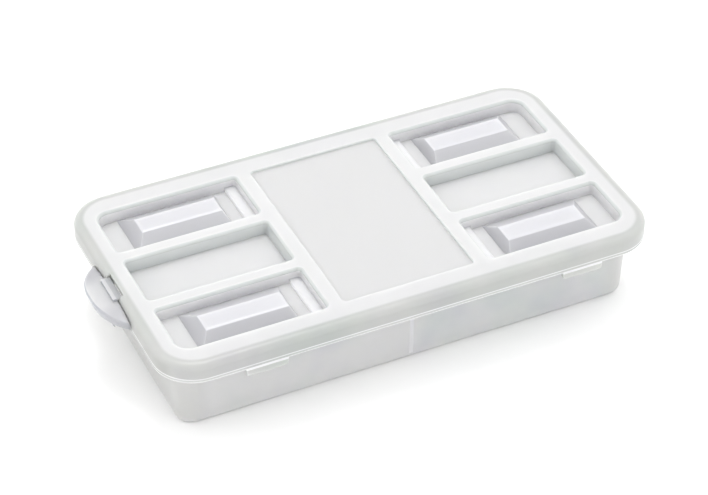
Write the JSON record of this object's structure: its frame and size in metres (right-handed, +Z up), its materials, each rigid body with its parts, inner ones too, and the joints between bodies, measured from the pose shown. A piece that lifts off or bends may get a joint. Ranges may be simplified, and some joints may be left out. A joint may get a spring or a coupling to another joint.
{
  "type": "plastic storage box",
  "caption": "Shallow rectangular snap-lid storage box in milky polypropylene, with a cross divider, a recessed and ribbed lift-off lid, and a pivoting finger clasp at one end.",
  "frame": {"origin": "middle of the tray's flat underside", "axes": "+X along the box, away from the end clasp; +Y towards the far long side; +Z up, through the lid"},
  "size_m": [0.2091, 0.1094, 0.036],
  "materials": {
    "tray_polypropylene": "injection-moulded natural polypropylene, milky translucent, satin",
    "divider_polypropylene": "injection-moulded natural polypropylene, milky translucent, satin",
    "lid_polypropylene": "injection-moulded natural polypropylene, milky translucent, satin",
    "clasp_polypropylene": "injection-moulded natural polypropylene, milky translucent, satin"
  },
  "bodies": {
    "tray": {"base_tray": "tray_polypropylene", "divider": "divider_polypropylene"},
    "lid": {"lid": "lid_polypropylene"},
    "clasp": {"end_clasp": "clasp_polypropylene"}
  },
  "joints": [
    {"name": "lid_lift", "type": "slide", "parent": "tray", "child": "lid", "axis": [0, 0, 1], "range_m": [0, 0.06]},
    {"name": "clasp_pivot", "type": "hinge", "parent": "tray", "child": "clasp", "pos_m": [-0.1021, 0.001, 0.0259], "axis": [0, -1, 0], "range_deg": [0, 75]}
  ]
}
